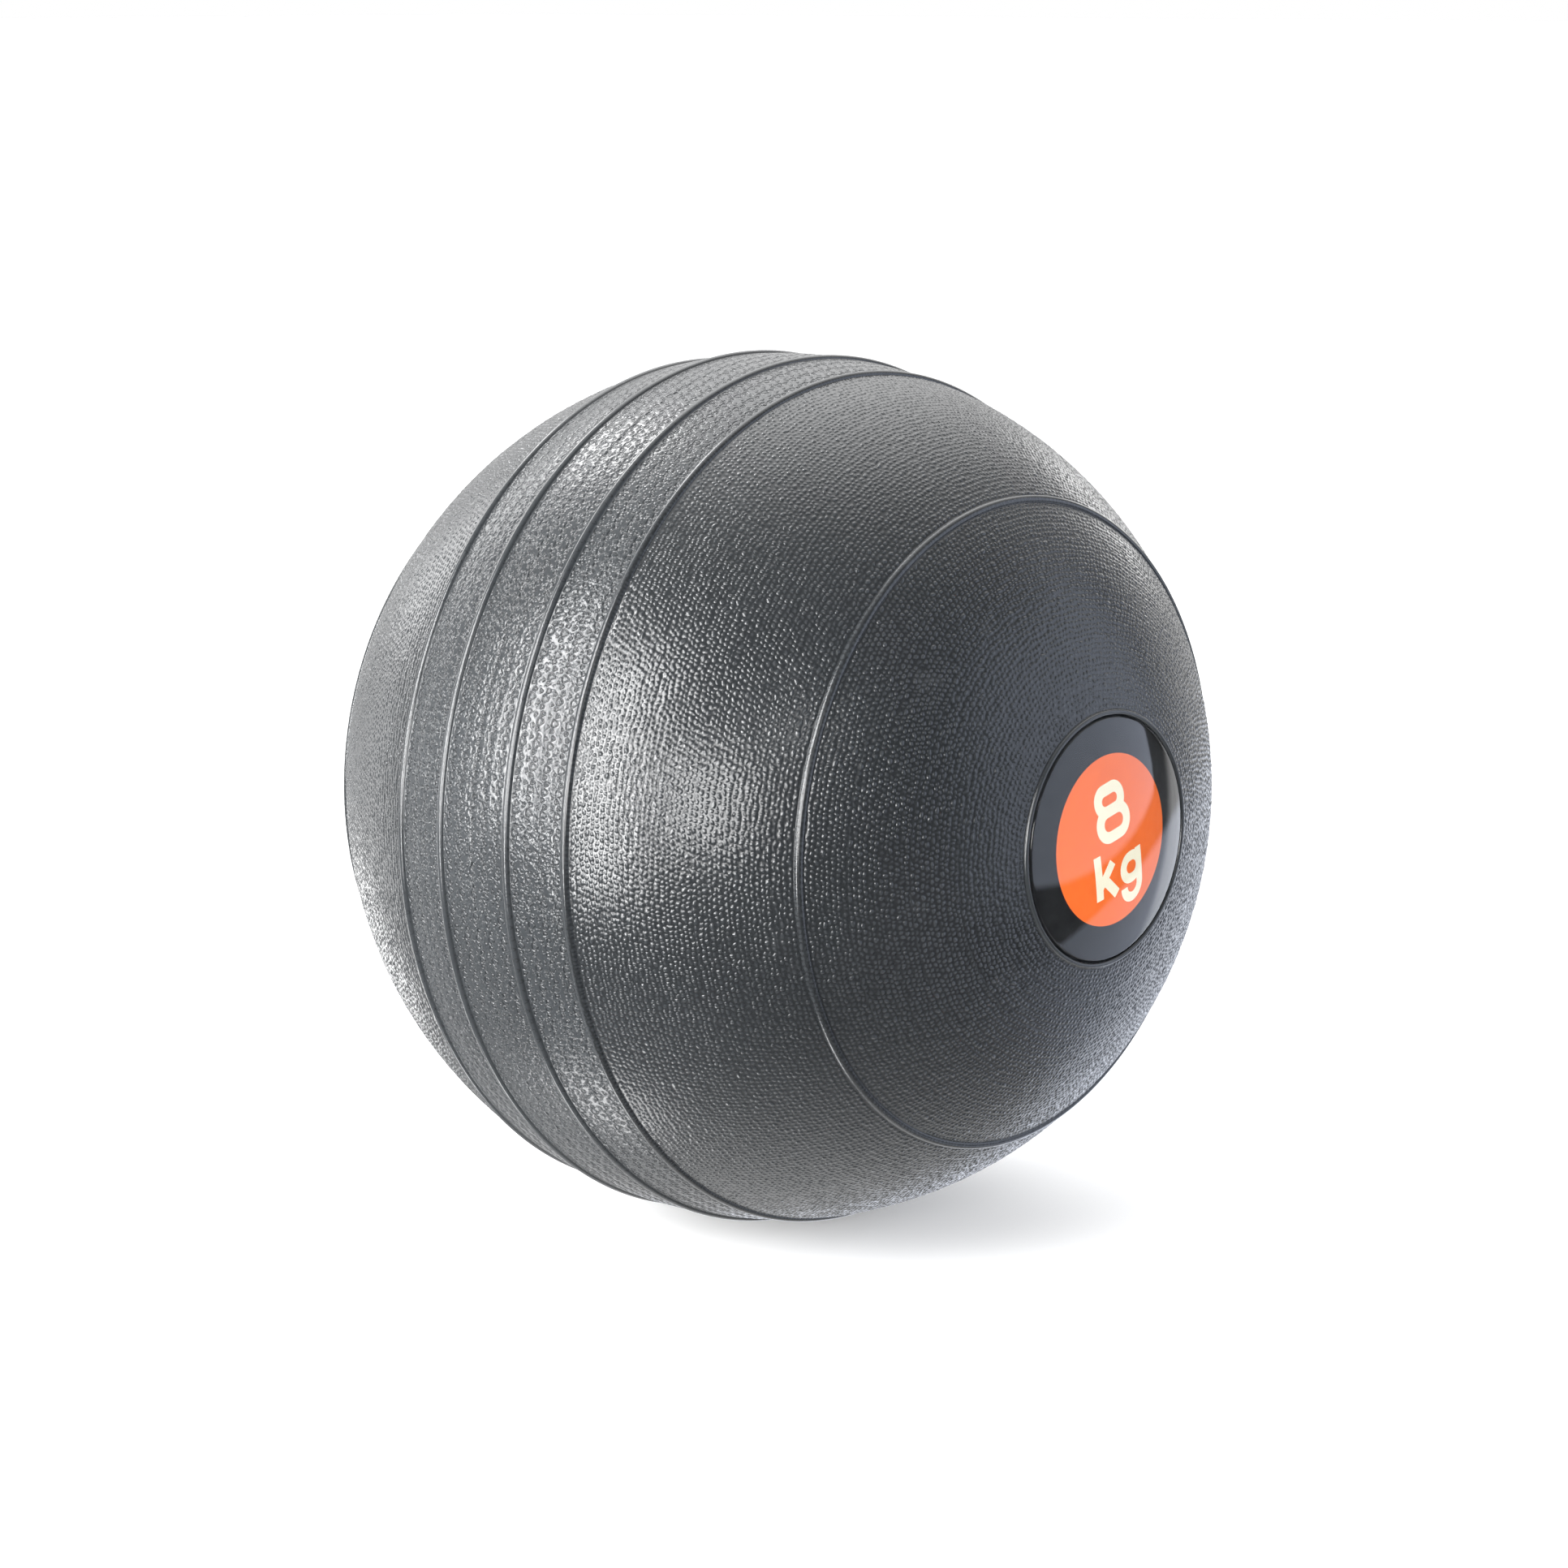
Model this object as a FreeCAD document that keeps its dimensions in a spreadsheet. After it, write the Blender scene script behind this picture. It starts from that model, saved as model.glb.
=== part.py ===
import FreeCAD, Part
import math
import os
import Sketcher

# An 8 kg dead-bounce medicine ball: a thick moulded shell with raised ribs, part filled with loose iron
# sand through a port that the front badge covers. The origin is the ball's centre. The mould axis is Y and
# runs through both badges; the front badge, which carries the weight, faces -Y, and +Z is up.

DIMENSIONS = {  # millimetres, and degrees for the angles
    "ball_radius": 115.0,  # outside of the shell at the equator, without the ribs
    "cap_radius": 110.0,  # section radius of each polar cap, which makes the ball a little oval
    "cap_join": 30.0,  # latitude where the caps meet the round middle of the ball
    "cavity_radius": 105.0,
    "rib_radius": 1.25,
    "rib_sink": 0.40,  # how far each rib's centre lies under the surface
    "inner_rib_angle": 5.7,
    "middle_rib_angle": 14.4,
    "outer_rib_angle": 44.4,  # turned about the cap's own centre
    "seat_radius": 31.4,  # round recess for a badge
    "seat_floor": 111.3,
    "lip_radius": 0.65,
    "port_radius": 8.0,
    "plug_head_radius": 13.0,
    "plug_head_depth": 2.5,
    "fit_gap": 0.05,
    "fill_radius": 104.6,
    "fill_level": 2.9,  # how far the sand's surface lies below the centre
    "pad_radius": 29.5,
    "pad_top": 112.0,
    "badge_radius": 30.9,
    "badge_top": 112.5,
    "print_radius": 21.9,
    "print_depth": 0.25,  # the printed layer is flush with the badge's top
    "dome_crown": 114.5,
    "dome_section_radius": 98.0,
    "dome_edge_round": 0.5,
    "text_roll": 13.5,
    "numeral_stroke": 3.0,
    "letter_stroke": 2.6,
    "letter_height": 11.9,
    "x_height": 8.5,
    "baseline": -13.2,
    "letters_left": -9.6,
    "letters_right": 9.4,
}
FEATURE_SLACK = 5.0  # how far a cutting profile reaches past what it cuts

V = FreeCAD.Vector
doc = FreeCAD.newDocument("medicine_ball")

sheet = doc.addObject("Spreadsheet::Sheet", "Dims")
for row, (alias, value) in enumerate(DIMENSIONS.items(), start=1):
    sheet.set("A%d" % row, alias)
    sheet.set("B%d" % row, str(value))
    sheet.setAlias("B%d" % row, alias)
doc.recompute()


# ------------------------------------------------------------------------------------------- sketches
def new_body(label):
    body = doc.addObject("PartDesign::Body", label)
    body.Label = label
    return body


def new_sketch(body, name, role):
    sketch = body.newObject("Sketcher::SketchObject", name)
    plane = next(f for f in body.Origin.OriginFeatures if f.Role == role)
    sketch.AttachmentSupport = [(plane, "")]
    sketch.MapMode = "FlatFace"
    return sketch


def bind(sketch, kind, where, value, expression):
    """Adds one dimension to a sketch and ties it to the sheet."""
    number = sketch.addConstraint(Sketcher.Constraint(kind, *where, value))
    sketch.setExpression("Constraints[%d]" % number, expression)


def tie(sketch, kind, *where):
    sketch.addConstraint(Sketcher.Constraint(kind, *where))


def arc(sketch, centre, radius, start, end):
    """A circular arc, from one angle in degrees to another, counter-clockwise."""
    circle = Part.Circle(centre, V(0, 0, 1), radius)
    return sketch.addGeometry(Part.ArcOfCircle(circle, math.radians(start), math.radians(end)))


def line(sketch, start, end):
    return sketch.addGeometry(Part.LineSegment(start, end))


def layer_section(sketch, inner, outer, edge):
    """Half section of a round layer between two spheres about the centre. inner, outer and edge name the
    two spheres' radii and the layer's own radius, each as (number, expression)."""
    arcs = []
    for radius, expression in (inner, outer):
        start = math.degrees(math.acos(edge[0] / radius))
        arcs.append(arc(sketch, V(0, 0, 0), radius, start, 90.0))
        tie(sketch, "Coincident", arcs[-1], 3, -1, 1)
        bind(sketch, "Radius", (arcs[-1],), radius, expression)
        tie(sketch, "PointOnObject", arcs[-1], 2, -2)
    points = [(sketch.getPoint(a, 1), sketch.getPoint(a, 2)) for a in arcs]
    rim = line(sketch, points[0][0], points[1][0])
    axis = line(sketch, points[0][1], points[1][1])
    for side, which in ((rim, 1), (axis, 2)):
        tie(sketch, "Coincident", side, 1, arcs[0], which)
        tie(sketch, "Coincident", side, 2, arcs[1], which)
    tie(sketch, "Vertical", rim)
    bind(sketch, "DistanceX", (-1, 1, rim, 1), edge[0], edge[1])


def turned(body, kind, sketch):
    """Turns a sketch all the way round its own upright axis, adding or removing material."""
    feature = body.newObject("PartDesign::" + kind, sketch.Name + "_" + kind.lower())
    feature.Profile = sketch
    feature.ReferenceAxis = (sketch, ["V_Axis"])
    feature.Angle = 360.0
    sketch.Visibility = False
    doc.recompute()
    return feature


def layer(body, name, kind, inner, outer, edge):
    sketch = new_sketch(body, name, "XY_Plane")
    layer_section(sketch, inner, outer, edge)
    return turned(body, kind, sketch)


def from_sheet(alias, offset=0.0):
    """A dimension with an optional fixed offset, as a number and as an expression."""
    return DIMENSIONS[alias] + offset, "Dims.%s + %s" % (alias, offset)


def face_front(item):
    """Pieces are drawn on the +Y pole; half a turn about Z takes them to the front pole."""
    item.Placement = FreeCAD.Placement(V(0, 0, 0), FreeCAD.Rotation(V(0, 0, 1), 180))


# ---------------------------------------------------------------------------------------------- shell
def shell_section(body):
    """Half section of the back half of the bare shell: round middle, oval cap, round cavity."""
    d = DIMENSIONS
    join = math.radians(d["cap_join"])
    shift = d["ball_radius"] - d["cap_radius"]
    cap_centre = V(shift * math.cos(join), shift * math.sin(join), 0)
    pole_angle = 90 + math.degrees(math.asin(cap_centre.x / d["cap_radius"]))

    sketch = new_sketch(body, "half_section", "XY_Plane")
    middle = arc(sketch, V(0, 0, 0), d["ball_radius"], 0, d["cap_join"])
    cap = arc(sketch, cap_centre, d["cap_radius"], d["cap_join"], pole_angle)
    cavity = arc(sketch, V(0, 0, 0), d["cavity_radius"], 0, 90)
    pole = line(sketch, sketch.getPoint(cap, 2), sketch.getPoint(cavity, 2))
    equator = line(sketch, sketch.getPoint(cavity, 1), sketch.getPoint(middle, 1))

    tie(sketch, "Coincident", middle, 3, -1, 1)
    tie(sketch, "Coincident", cavity, 3, -1, 1)
    tie(sketch, "Tangent", middle, 2, cap, 1)
    tie(sketch, "Coincident", cap, 2, pole, 1)
    tie(sketch, "Coincident", pole, 2, cavity, 2)
    tie(sketch, "Coincident", cavity, 1, equator, 1)
    tie(sketch, "Coincident", equator, 2, middle, 1)
    for end_of, which, axis in ((cap, 2, -2), (cavity, 2, -2), (middle, 1, -1), (cavity, 1, -1)):
        tie(sketch, "PointOnObject", end_of, which, axis)
    bind(sketch, "Radius", (middle,), d["ball_radius"], "Dims.ball_radius")
    bind(sketch, "Radius", (cap,), d["cap_radius"], "Dims.cap_radius")
    bind(sketch, "Radius", (cavity,), d["cavity_radius"], "Dims.cavity_radius")
    height = d["ball_radius"] * math.sin(join)
    bind(sketch, "DistanceY", (-1, 1, middle, 2), height, "Dims.ball_radius * sin(Dims.cap_join * 1deg)")
    return sketch


def bead(sketch, centre, across, along, radius_alias):
    """Section of a round bead: its centre as a point and as two expressions, and its radius."""
    radius = DIMENSIONS[radius_alias]
    circle = sketch.addGeometry(Part.Circle(centre, V(0, 0, 1), radius))
    bind(sketch, "DistanceX", (-1, 1, circle, 3), centre.x, across)
    bind(sketch, "DistanceY", (-1, 1, circle, 3), centre.y, along)
    bind(sketch, "Radius", (circle,), radius, "Dims." + radius_alias)


def bead_sections(body):
    """Sections of the three raised ribs and of the lip round the badge seat."""
    d = DIMENSIONS
    sketch = new_sketch(body, "rib_sections", "XY_Plane")
    for alias in ("inner_rib_angle", "middle_rib_angle"):
        reach = d["ball_radius"] - d["rib_sink"]
        angle = math.radians(d[alias])
        centre = V(reach * math.cos(angle), reach * math.sin(angle), 0)
        places = [
            "(Dims.ball_radius - Dims.rib_sink) * %s(Dims.%s * 1deg)" % (f, alias) for f in ("cos", "sin")
        ]
        bead(sketch, centre, places[0], places[1], "rib_radius")

    shift = d["ball_radius"] - d["cap_radius"]
    join = math.radians(d["cap_join"])
    shift_terms = [
        "(Dims.ball_radius - Dims.cap_radius) * %s(Dims.cap_join * 1deg)" % f for f in ("cos", "sin")
    ]
    reach = d["cap_radius"] - d["rib_sink"]
    angle = math.radians(d["outer_rib_angle"])
    centre = V(
        shift * math.cos(join) + reach * math.cos(angle), shift * math.sin(join) + reach * math.sin(angle), 0
    )
    places = [
        term + " + (Dims.cap_radius - Dims.rib_sink) * %s(Dims.outer_rib_angle * 1deg)" % f
        for term, f in zip(shift_terms, ("cos", "sin"))
    ]
    bead(sketch, centre, places[0], places[1], "rib_radius")

    lip_x = d["seat_radius"] + d["lip_radius"]
    lip_y = shift * math.sin(join) + math.sqrt(d["cap_radius"] ** 2 - (lip_x - shift * math.cos(join)) ** 2)
    across = "Dims.seat_radius + Dims.lip_radius"
    along = "%s + sqrt(Dims.cap_radius^2 - (%s - %s)^2)" % (shift_terms[1], across, shift_terms[0])
    bead(sketch, V(lip_x, lip_y, 0), across, along, "lip_radius")
    return sketch


def make_shell():
    body = new_body("shell")
    turned(body, "Revolution", shell_section(body))
    turned(body, "Revolution", bead_sections(body))
    beyond = from_sheet("ball_radius", FEATURE_SLACK)
    seat = layer(body, "seat", "Groove", from_sheet("seat_floor"), beyond, from_sheet("seat_radius"))

    both = body.newObject("PartDesign::Mirrored", "both_halves")
    both.TransformMode = "Whole shape"
    both.MirrorPlane = (next(f for f in body.Origin.OriginFeatures if f.Role == "XZ_Plane"), [""])
    body.Tip = both
    doc.recompute()
    if both.Shape.Volume < 1.9 * seat.Shape.Volume:
        raise RuntimeError("the mirrored half of the shell is missing")

    half_turn = FreeCAD.Placement(V(0, 0, 0), FreeCAD.Rotation(V(0, 0, 1), 180))
    head_depth = DIMENSIONS["seat_floor"] - DIMENSIONS["plug_head_depth"]
    cuts = (
        ("port", from_sheet("cavity_radius", -FEATURE_SLACK), "port_radius"),
        ("port_step", (head_depth, "Dims.seat_floor - Dims.plug_head_depth"), "plug_head_radius"),
    )
    for name, inner, edge in cuts:
        before = body.Shape.Volume
        sketch = new_sketch(body, name, "XY_Plane")
        sketch.AttachmentOffset = half_turn
        layer_section(sketch, inner, from_sheet("seat_floor", 1.0), from_sheet(edge))
        turned(body, "Groove", sketch)
        if body.Shape.Volume >= before:
            raise RuntimeError(name + " cuts nothing")
    return body


# ------------------------------------------------------------------------------------ inside the shell
def make_plug():
    """The rubber stopper: a shank in the port and a head in the step under the badge."""
    body = new_body("fill_plug")
    d = DIMENSIONS
    under_head = (
        d["seat_floor"] - d["plug_head_depth"] + d["fit_gap"],
        "Dims.seat_floor - Dims.plug_head_depth + Dims.fit_gap",
    )
    shank = (d["port_radius"] - d["fit_gap"], "Dims.port_radius - Dims.fit_gap")
    head = (d["plug_head_radius"] - d["fit_gap"], "Dims.plug_head_radius - Dims.fit_gap")
    layer(body, "head", "Revolution", under_head, from_sheet("seat_floor"), head)
    overlap = from_sheet("seat_floor", -0.5 * d["plug_head_depth"])
    layer(body, "shank", "Revolution", from_sheet("cavity_radius"), overlap, shank)
    face_front(body)
    return body


def make_fill():
    """The loose iron sand: it lies in the bottom of the cavity with a level top."""
    body = new_body("sand_fill")
    radius, level = DIMENSIONS["fill_radius"], DIMENSIONS["fill_level"]
    sketch = new_sketch(body, "sand_section", "XZ_Plane")
    edge_angle = -math.degrees(math.asin(level / radius))
    bowl = arc(sketch, V(0, 0, 0), radius, -90, edge_angle)
    surface = line(sketch, sketch.getPoint(bowl, 2), V(0, -level, 0))
    axis = line(sketch, V(0, -level, 0), sketch.getPoint(bowl, 1))
    tie(sketch, "Coincident", bowl, 3, -1, 1)
    tie(sketch, "PointOnObject", bowl, 1, -2)
    tie(sketch, "Coincident", bowl, 2, surface, 1)
    tie(sketch, "Coincident", surface, 2, axis, 1)
    tie(sketch, "Coincident", axis, 2, bowl, 1)
    tie(sketch, "Horizontal", surface)
    tie(sketch, "PointOnObject", surface, 2, -2)
    bind(sketch, "Radius", (bowl,), radius, "Dims.fill_radius")
    bind(sketch, "DistanceY", (surface, 2, -1, 1), level, "Dims.fill_level")
    turned(body, "Revolution", sketch)
    return body


# --------------------------------------------------------------------------------------------- badges
def make_dome(label):
    """Clear resin over the whole badge: its foot follows the badge, its crown is more domed, and its
    upper edge is rounded as poured resin is."""
    body = new_body(label)
    d = DIMENSIONS
    foot_radius, edge = d["badge_top"], d["badge_radius"]
    crown_centre = V(0, d["dome_crown"] - d["dome_section_radius"], 0)
    sketch = new_sketch(body, label + "_section", "XY_Plane")
    foot = arc(sketch, V(0, 0, 0), foot_radius, math.degrees(math.acos(edge / foot_radius)), 90)
    crown_start = math.degrees(math.acos(edge / d["dome_section_radius"]))
    crown = arc(sketch, crown_centre, d["dome_section_radius"], crown_start, 90)
    rim = line(sketch, sketch.getPoint(foot, 1), sketch.getPoint(crown, 1))
    axis = line(sketch, sketch.getPoint(foot, 2), sketch.getPoint(crown, 2))
    tie(sketch, "Coincident", foot, 3, -1, 1)
    tie(sketch, "PointOnObject", crown, 3, -2)
    tie(sketch, "PointOnObject", foot, 2, -2)
    tie(sketch, "PointOnObject", crown, 2, -2)
    for side, which in ((rim, 1), (axis, 2)):
        tie(sketch, "Coincident", side, 1, foot, which)
        tie(sketch, "Coincident", side, 2, crown, which)
    tie(sketch, "Vertical", rim)
    bind(sketch, "Radius", (foot,), foot_radius, "Dims.badge_top")
    bind(sketch, "Radius", (crown,), d["dome_section_radius"], "Dims.dome_section_radius")
    bind(sketch, "DistanceX", (-1, 1, rim, 1), edge, "Dims.badge_radius")
    bind(sketch, "DistanceY", (-1, 1, crown, 2), d["dome_crown"], "Dims.dome_crown")
    poured = turned(body, "Revolution", sketch)

    rims = [
        (ring.BoundBox.YMax, "Edge%d" % number)
        for number, ring in enumerate(poured.Shape.Edges, start=1)
        if ring.BoundBox.YLength < 0.01 and abs(ring.BoundBox.XMax - edge) < 0.01
    ]
    fillet = body.newObject("PartDesign::Fillet", label + "_edge")
    fillet.Base = (poured, [max(rims)[1]])
    fillet.setExpression("Radius", "Dims.dome_edge_round")
    doc.recompute()
    return body


# ---------------------------------------------------------------------------------------------- print
# Plain strokes of one width, drawn on the front with x to the right and z up, and used as deep prisms
# that cut through the printed layer.
PRISM_START = -DIMENSIONS["ball_radius"]
PRISM_DEPTH = 10.0


def stroke_bar(name, start, length, angle, width_alias):
    """A straight stroke from a point, at an angle in degrees above the +X direction."""
    bar = doc.addObject("Part::Box", name)
    bar.Length = length
    bar.Width = PRISM_DEPTH
    bar.setExpression("Height", "Dims." + width_alias)
    turn = FreeCAD.Rotation(V(0, -1, 0), angle)
    half_width = turn.multVec(V(0, 0, DIMENSIONS[width_alias] / 2))
    bar.Placement = FreeCAD.Placement(V(start[0], PRISM_START, start[1]) - half_width, turn)
    return bar


def slot_outline(sketch, centre, reach, radius, expression):
    """A closed outline with straight top and bottom and half-round ends, reach either side of centre."""
    ends = []
    for side, start in ((1, -90), (-1, 90)):
        middle = V(centre[0] + side * reach, centre[1], 0)
        end = arc(sketch, middle, radius, start, start + 180)
        bind(sketch, "Radius", (end,), radius, expression)
        tie(sketch, "DistanceX", -1, 1, end, 3, middle.x)
        tie(sketch, "DistanceY", -1, 1, end, 3, middle.y)
        ends.append(end)
    top = line(sketch, sketch.getPoint(ends[0], 2), sketch.getPoint(ends[1], 1))
    bottom = line(sketch, sketch.getPoint(ends[1], 2), sketch.getPoint(ends[0], 1))
    tie(sketch, "Tangent", ends[0], 2, top, 1)
    tie(sketch, "Tangent", top, 2, ends[1], 1)
    tie(sketch, "Tangent", ends[1], 2, bottom, 1)
    tie(sketch, "Tangent", bottom, 2, ends[0], 1)


def stroke_loop(name, centre, reach, radius, width_alias):
    """A closed loop stroke, whose centre line is a slot of the given radius."""
    sketch = doc.addObject("Sketcher::SketchObject", name + "_outline")
    sketch.Placement = FreeCAD.Placement(V(0, PRISM_START, 0), FreeCAD.Rotation(V(1, 0, 0), 90))
    half = DIMENSIONS[width_alias] / 2
    slot_outline(sketch, centre, reach, radius + half, "%s + Dims.%s / 2" % (radius, width_alias))
    slot_outline(sketch, centre, reach, radius - half, "%s - Dims.%s / 2" % (radius, width_alias))
    sketch.Visibility = False
    loop = doc.addObject("Part::Extrusion", name)
    loop.Base = sketch
    loop.DirMode = "Custom"
    loop.Dir = V(0, 1, 0)
    loop.LengthFwd = PRISM_DEPTH
    loop.Solid = True
    return loop


def stroke_hook(name, centre, radius, width_alias):
    """The lower half of a round stroke, open at the top."""
    rounds = []
    for suffix, sign in (("_outside", "+"), ("_inside", "-")):
        half_round = doc.addObject("Part::Cylinder", name + suffix)
        half_round.setExpression("Radius", "%s %s Dims.%s / 2" % (radius, sign, width_alias))
        half_round.Height = PRISM_DEPTH
        half_round.Angle = 180
        turn = FreeCAD.Rotation(V(1, 0, 0), -90)
        half_round.Placement = FreeCAD.Placement(V(centre[0], PRISM_START, centre[1]), turn)
        rounds.append(half_round)
    hook = doc.addObject("Part::Cut", name)
    hook.Base, hook.Tool = rounds
    return hook


def join_strokes(name, strokes):
    """Joins strokes and rolls them round the badge's own axis."""
    joined = doc.addObject("Part::MultiFuse", name)
    joined.Shapes = strokes
    joined.Refine = True
    joined.Placement = FreeCAD.Placement(V(0, 0, 0), FreeCAD.Rotation(V(0, -1, 0), DIMENSIONS["text_roll"]))
    joined.setExpression("Placement.Rotation.Angle", "Dims.text_roll * 1deg")
    return joined


def numeral_strokes():
    """An 8: a larger loop below a smaller one that shares its top stroke."""
    half = DIMENSIONS["numeral_stroke"] / 2
    foot, lower_radius, upper_radius = 0.3, 3.3, 2.75
    lower_middle = foot + half + lower_radius
    upper_middle = lower_middle + lower_radius + upper_radius
    loops = [
        stroke_loop("lower_loop", (0.0, lower_middle), 2.0, lower_radius, "numeral_stroke"),
        stroke_loop("upper_loop", (0.0, upper_middle), 1.8, upper_radius, "numeral_stroke"),
    ]
    return join_strokes("numeral_strokes", loops)


def letter_strokes():
    """The letters kg, standing on one baseline, with the g's tail hanging below it."""
    d = DIMENSIONS
    width = "letter_stroke"
    half = d[width] / 2
    baseline, x_height = d["baseline"], d["x_height"]
    k_stem = d["letters_left"] + half
    g_stem = d["letters_right"] - half
    bowl_radius = x_height / 2 - half
    bowl_reach = 0.4
    bowl_middle = g_stem - bowl_radius - bowl_reach
    tail_top = baseline - 0.6
    strokes = [
        stroke_bar("k_stem", (k_stem, baseline), d["letter_height"], 90, width),
        stroke_bar("k_arm", (k_stem, baseline + 0.36 * x_height), 0.92 * x_height, 44, width),
        stroke_bar("k_leg", (k_stem + 1.9, baseline + 0.6 * x_height), 0.86 * x_height, -50, width),
        stroke_loop("g_bowl", (bowl_middle, baseline + x_height / 2), bowl_reach, bowl_radius, width),
        stroke_bar("g_stem", (g_stem, tail_top), baseline + x_height - tail_top, 90, width),
        stroke_hook("g_tail", (bowl_middle, tail_top), bowl_radius + bowl_reach, width),
    ]
    return join_strokes("letter_strokes", strokes)


def cut_print(label, kind, layer_body, strokes):
    """A printed piece: the strokes kept from the printed layer, or the layer without the strokes."""
    piece = doc.addObject(kind, label)
    piece.Label = label
    piece.Base, piece.Tool = layer_body, strokes
    return piece


# ----------------------------------------------------------------------------------------- the object
def make_badge(end):
    """The layers of one badge, from the seat outwards. Returns them and the plain printed layer."""
    print_floor = (
        DIMENSIONS["badge_top"] - DIMENSIONS["print_depth"],
        "Dims.badge_top - Dims.print_depth",
    )
    pad = new_body(end + "_badge_pad")
    pad_sizes = map(from_sheet, ("seat_floor", "pad_top", "pad_radius"))
    layer(pad, end + "_pad_section", "Revolution", *pad_sizes)
    disc = new_body(end + "_badge_disc")
    disc_sizes = map(from_sheet, ("pad_top", "badge_top", "badge_radius"))
    layer(disc, end + "_disc_section", "Revolution", *disc_sizes)
    solid_disc = disc.Shape.Volume
    beyond = from_sheet("badge_top", FEATURE_SLACK)
    layer(disc, end + "_print_recess", "Groove", print_floor, beyond, from_sheet("print_radius"))
    if disc.Shape.Volume >= solid_disc:
        raise RuntimeError(end + " print recess cuts nothing")
    plain_print = new_body(end + "_orange_disc")
    edge = from_sheet("print_radius")
    layer(plain_print, end + "_print_section", "Revolution", print_floor, from_sheet("badge_top"), edge)
    dome = make_dome(end + "_dome")
    stack = [pad, disc, plain_print, dome]
    if end == "front":
        for piece in stack:
            face_front(piece)
    return stack


def make_pieces():
    pad, disc, plain_print, dome = make_badge("front")
    plain_print.Label = "front_print_layer"
    numeral, letters = numeral_strokes(), letter_strokes()
    all_strokes = doc.addObject("Part::MultiFuse", "all_strokes")
    all_strokes.Shapes = [numeral, letters]
    front = [
        pad,
        disc,
        cut_print("front_orange_print", "Part::Cut", plain_print, all_strokes),
        cut_print("front_numeral", "Part::Common", plain_print, numeral),
        cut_print("front_unit_letters", "Part::Common", plain_print, letters),
        dome,
    ]
    back = make_badge("back")
    back[2].Label = "back_orange_print"
    return [make_shell(), make_plug(), make_fill()] + front + back


def check_document():
    for item in doc.Objects:
        if {"Invalid", "Error"} & set(item.State):
            raise RuntimeError("%s did not compute: %s" % (item.Name, item.State))


pieces = make_pieces()
doc.recompute()
check_document()
os.makedirs("parts", exist_ok=True)
for piece in pieces:
    if piece.Shape.isNull() or not piece.Shape.isValid():
        raise RuntimeError(piece.Label + " has no valid shape")
for piece in pieces:
    piece.Shape.exportStep("parts/%s.step" % piece.Label)
    box = piece.Shape.BoundBox
    print("%-20s %10.1f mm3  Y %8.2f to %8.2f" % (piece.Label, piece.Shape.Volume, box.YMin, box.YMax))
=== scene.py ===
import math

import bpy
import numpy as np
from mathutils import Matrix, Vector


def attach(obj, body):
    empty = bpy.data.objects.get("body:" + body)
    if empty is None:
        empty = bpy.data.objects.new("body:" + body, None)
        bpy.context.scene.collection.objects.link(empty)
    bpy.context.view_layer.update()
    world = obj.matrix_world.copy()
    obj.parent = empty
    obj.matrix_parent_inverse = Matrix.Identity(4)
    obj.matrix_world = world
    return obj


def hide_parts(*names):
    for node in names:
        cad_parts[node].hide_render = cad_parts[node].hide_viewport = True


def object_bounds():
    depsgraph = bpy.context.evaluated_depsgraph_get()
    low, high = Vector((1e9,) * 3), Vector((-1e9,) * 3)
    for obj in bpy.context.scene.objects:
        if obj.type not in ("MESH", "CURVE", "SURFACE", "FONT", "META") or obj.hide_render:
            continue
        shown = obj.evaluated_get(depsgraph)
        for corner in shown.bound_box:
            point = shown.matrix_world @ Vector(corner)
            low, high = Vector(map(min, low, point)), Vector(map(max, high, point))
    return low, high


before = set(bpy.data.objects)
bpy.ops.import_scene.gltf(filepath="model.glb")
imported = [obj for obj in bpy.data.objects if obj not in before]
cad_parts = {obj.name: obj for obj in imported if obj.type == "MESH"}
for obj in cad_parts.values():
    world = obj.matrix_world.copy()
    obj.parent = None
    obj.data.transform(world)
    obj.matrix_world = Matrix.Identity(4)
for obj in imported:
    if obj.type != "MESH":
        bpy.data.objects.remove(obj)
cad_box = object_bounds()

MM = 0.001
SEED = 8

# ------------------------------------------------------------------ sizes of the ball, in millimetres
BALL_RADIUS = 115.0
CAP_RADIUS = 110.0
CAP_JOIN = math.radians(30.0)
CAP_CENTRE = np.array([math.cos(CAP_JOIN), math.sin(CAP_JOIN)]) * (BALL_RADIUS - CAP_RADIUS)
CAVITY_RADIUS = 105.0
RIB_RADIUS = 1.25
RIB_SINK = 0.40
RIB_CLEAR = 0.01  # keeps the ribs inside the solid ribs' outline
RIB_ANGLES = (5.7, 14.4, 44.4)
SEAT_RADIUS = 31.4
SEAT_FLOOR = 111.3
LIP_RADIUS = 0.65
PORT_RADIUS = 8.0
PLUG_HEAD_RADIUS = 13.0
PLUG_HEAD_DEPTH = 2.5
BADGE_RADIUS = 30.9
BADGE_TOP = 112.5
DOME_CROWN = 114.5
DOME_SECTION_RADIUS = 98.0
DOME_EDGE_ROUND = 0.5
DOME_LIFT = 0.04  # keeps the resin's foot off the print, so that the two never flicker

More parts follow.
